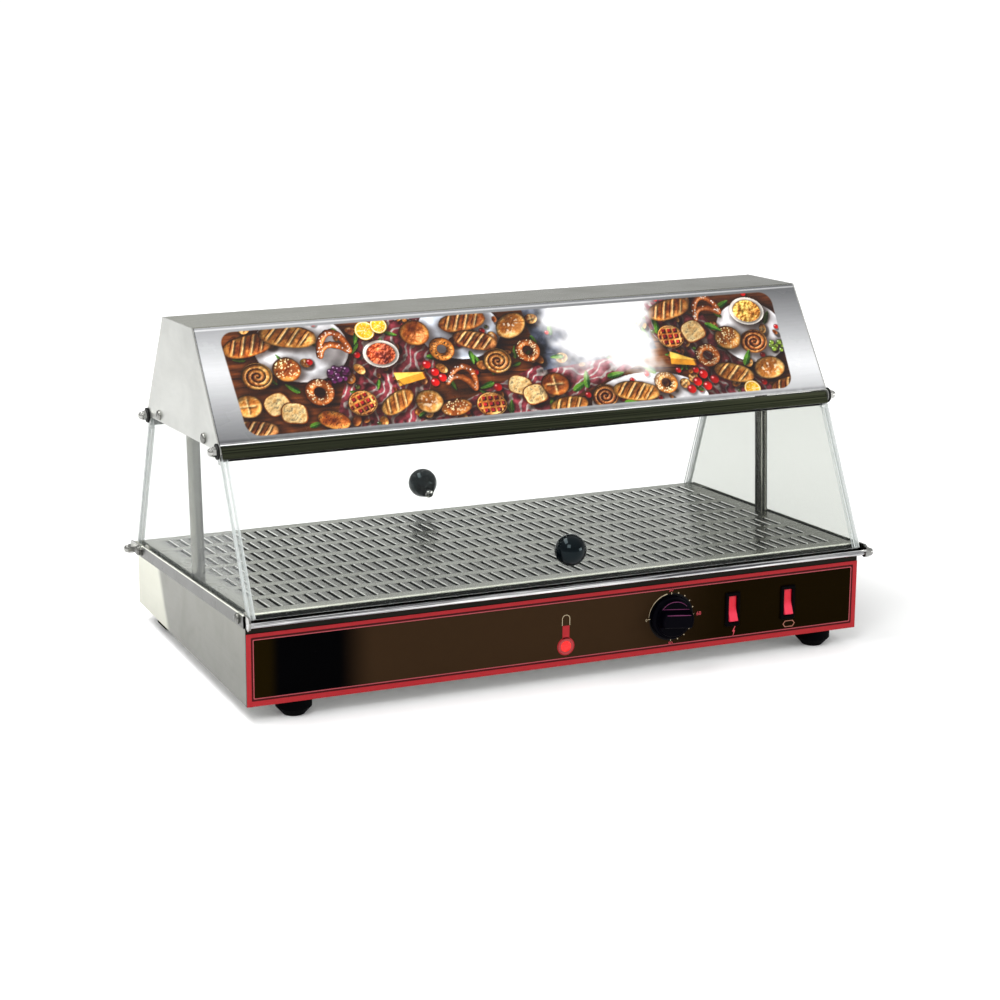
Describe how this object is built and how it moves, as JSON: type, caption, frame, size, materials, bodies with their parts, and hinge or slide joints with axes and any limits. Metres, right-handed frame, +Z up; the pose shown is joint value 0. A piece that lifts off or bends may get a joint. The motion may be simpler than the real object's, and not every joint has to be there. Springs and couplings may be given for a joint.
{
  "type": "heated display case",
  "caption": "Countertop heated display case: slotted warming deck on a stainless base, leaning hood on two tubes, clear side panes and lift-up front and rear doors.",
  "frame": {"origin": "centre of the bounding box at the underside of the feet", "axes": "+Z up, +X along the length to the right as seen from the control side, -Y towards the control panel and the front door"},
  "size_m": [0.62, 0.3796, 0.3196],
  "materials": {
    "stainless_brushed": "brushed along the length, satin",
    "panel_gloss": "glossy printed film, dark brown-black with a red frame line",
    "facade_print": null,
    "rail_dark": "dark glossy metal",
    "acrylic_clear": "clear polished acrylic, sawn edges",
    "knob_black": "glossy black",
    "rubber_black": "matte",
    "nylon_pale": "matte",
    "steel_bright": "polished",
    "switch_black": "fine satin",
    "rocker_red": "glossy, lit from inside",
    "lens_red": "glossy translucent",
    "lamp_glass": "frosted tube",
    "opal": "opal",
    "lamp_socket": "matte",
    "reflector_aluminium": "bright rolled",
    "element_steel": "heat-tinted satin",
    "bulb_copper": "satin"
  },
  "bodies": {
    "cabinet": {"base_shell": "stainless_brushed", "bottom_plate": "stainless_brushed", "column_brackets": "stainless_brushed", "control_overlay": "panel_gloss", "cord_gland": "switch_black", "deck_tray": "stainless_brushed", "element_clips": "steel_bright", "feet": "rubber_black", "foot_screws": "steel_bright", "front_facade": "facade_print", "front_panel": "stainless_brushed", "front_rest_rod": "steel_bright", "heat_switch_body": "switch_black", "heating_element": "element_steel", "hinge_cap_nuts": "steel_bright", "hinge_pins": "steel_bright", "hinge_washers": "rubber_black", "hood_floor": "stainless_brushed", "hood_shell": "stainless_brushed", "hood_side_left": "stainless_brushed", "hood_side_right": "stainless_brushed", "indicator_body": "switch_black", "indicator_lens": "lens_red", "lamp_diffuser": "opal", "lamp_holders": "lamp_socket", "lamp_reflector": "reflector_aluminium", "lamp_tube": "lamp_glass", "left_column": "stainless_brushed", "left_side_pane": "acrylic_clear", "light_switch_body": "switch_black", "pane_nuts": "steel_bright", "pane_screws": "steel_bright", "pane_spacers": "nylon_pale", "rear_facade": "stainless_brushed", "rear_rest_rod": "steel_bright", "reflector_tray": "reflector_aluminium", "right_column": "stainless_brushed", "right_side_pane": "acrylic_clear", "rod_brackets": "steel_bright", "rod_cap_nuts": "steel_bright", "terminal_block": "lamp_socket", "thermostat_body": "switch_black", "thermostat_bulb": "bulb_copper"},
    "front_door": {"front_door_pane": "acrylic_clear", "front_door_rail": "rail_dark", "front_door_seal": "rubber_black", "front_door_bushes": "nylon_pale", "front_door_knob": "knob_black", "front_knob_screw": "steel_bright"},
    "rear_door": {"rear_door_pane": "acrylic_clear", "rear_door_rail": "rail_dark", "rear_door_seal": "rubber_black", "rear_door_bushes": "nylon_pale", "rear_door_knob": "knob_black", "rear_knob_screw": "steel_bright"},
    "thermostat_dial": {"thermostat_knob": "knob_black", "thermostat_shaft": "steel_bright"},
    "heat_rocker": {"heat_switch_rocker": "rocker_red"},
    "light_rocker": {"light_switch_rocker": "rocker_red"}
  },
  "joints": [
    {"name": "front_door_hinge", "type": "hinge", "parent": "cabinet", "child": "front_door", "pos_m": [0, -0.10035, 0.22507], "axis": [-1, 0, 0], "range_deg": [0, 85]},
    {"name": "rear_door_hinge", "type": "hinge", "parent": "cabinet", "child": "rear_door", "pos_m": [0, 0.11418, 0.21082], "axis": [1, 0, 0], "range_deg": [0, 85]},
    {"name": "thermostat_turn", "type": "hinge", "parent": "cabinet", "child": "thermostat_dial", "pos_m": [0.105, -0.16833, 0.0492], "axis": [0, 1, 0], "range_deg": [-5.5, 264.5]},
    {"name": "heat_rocker_tip", "type": "hinge", "parent": "cabinet", "child": "heat_rocker", "pos_m": [0.1676, -0.16613, 0.0493], "axis": [1, 0, 0], "range_deg": [0, 24]},
    {"name": "light_rocker_tip", "type": "hinge", "parent": "cabinet", "child": "light_rocker", "pos_m": [0.2252, -0.16613, 0.0493], "axis": [1, 0, 0], "range_deg": [0, 24]}
  ]
}
